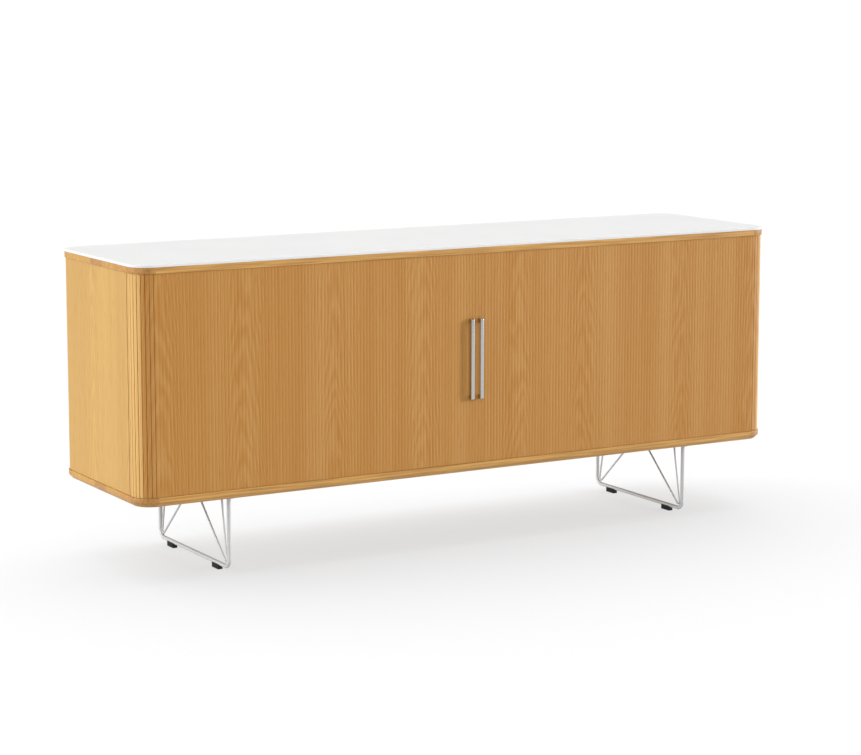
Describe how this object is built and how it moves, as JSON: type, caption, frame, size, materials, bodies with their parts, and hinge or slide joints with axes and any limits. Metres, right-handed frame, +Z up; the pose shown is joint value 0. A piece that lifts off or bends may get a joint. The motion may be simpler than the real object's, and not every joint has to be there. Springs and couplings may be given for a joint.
{
  "type": "office credenza",
  "caption": "Long low office cabinet with rounded corners, sliding oak tambour doors, bar handles, a pale top and braced wire legs.",
  "frame": {"origin": "on the floor, under the middle of the whole object's box", "axes": "+X along the length to the right as seen from the front, -Y out of the doors, +Z up"},
  "size_m": [1.8, 0.4758, 0.748],
  "materials": {
    "oak_slats": "lacquered oak veneer on slats, vertical grain",
    "oak_boards": "lacquered solid oak, stave glued",
    "oak_panels": "lacquered oak veneer, vertical grain",
    "oak_lining": "satin oak veneer",
    "top_laminate": "matt pale laminate",
    "leg_steel": "polished steel",
    "handle_aluminium": "satin anodised",
    "zinc_fasteners": "zinc plated",
    "black_rubber": "matt black"
  },
  "bodies": {
    "cabinet": {"back_panel": "oak_panels", "bottom_board": "oak_boards", "centre_partition": "oak_lining", "left_door_stop": "black_rubber", "left_inner_back": "oak_lining", "left_inner_side": "oak_lining", "left_leg_front_brace": "leg_steel", "left_leg_front_glide": "black_rubber", "left_leg_mounting_bar": "leg_steel", "left_leg_rear_brace": "leg_steel", "left_leg_rear_glide": "black_rubber", "left_leg_screw_1": "zinc_fasteners", "left_leg_screw_2": "zinc_fasteners", "left_leg_screw_3": "zinc_fasteners", "left_leg_screw_4": "zinc_fasteners", "left_leg_tube": "leg_steel", "left_shelf": "oak_lining", "left_shelf_pin_inner_front": "zinc_fasteners", "left_shelf_pin_inner_rear": "zinc_fasteners", "left_shelf_pin_outer_front": "zinc_fasteners", "left_shelf_pin_outer_rear": "zinc_fasteners", "left_side_panel": "oak_panels", "right_door_stop": "black_rubber", "right_inner_back": "oak_lining", "right_inner_side": "oak_lining", "right_leg_front_brace": "leg_steel", "right_leg_front_glide": "black_rubber", "right_leg_mounting_bar": "leg_steel", "right_leg_rear_brace": "leg_steel", "right_leg_rear_glide": "black_rubber", "right_leg_screw_1": "zinc_fasteners", "right_leg_screw_2": "zinc_fasteners", "right_leg_screw_3": "zinc_fasteners", "right_leg_screw_4": "zinc_fasteners", "right_leg_tube": "leg_steel", "right_shelf": "oak_lining", "right_shelf_pin_inner_front": "zinc_fasteners", "right_shelf_pin_inner_rear": "zinc_fasteners", "right_shelf_pin_outer_front": "zinc_fasteners", "right_shelf_pin_outer_rear": "zinc_fasteners", "right_side_panel": "oak_panels", "top_board": "oak_boards", "top_sheet": "top_laminate"},
    "left_door": {"left_handle": "handle_aluminium", "left_handle_screw_lower": "zinc_fasteners", "left_handle_screw_upper": "zinc_fasteners", "left_lead_stile": "oak_slats", "left_tambour": "oak_slats"},
    "right_door": {"right_handle": "handle_aluminium", "right_handle_screw_lower": "zinc_fasteners", "right_handle_screw_upper": "zinc_fasteners", "right_lead_stile": "oak_slats", "right_tambour": "oak_slats"}
  },
  "joints": [
    {"name": "left_door_slide", "type": "slide", "parent": "cabinet", "child": "left_door", "axis": [-1, 0, 0], "range_m": [0, 0.8085], "deforming": ["left_tambour"]},
    {"name": "right_door_slide", "type": "slide", "parent": "cabinet", "child": "right_door", "axis": [1, 0, 0], "range_m": [0, 0.8085], "deforming": ["right_tambour"]}
  ]
}
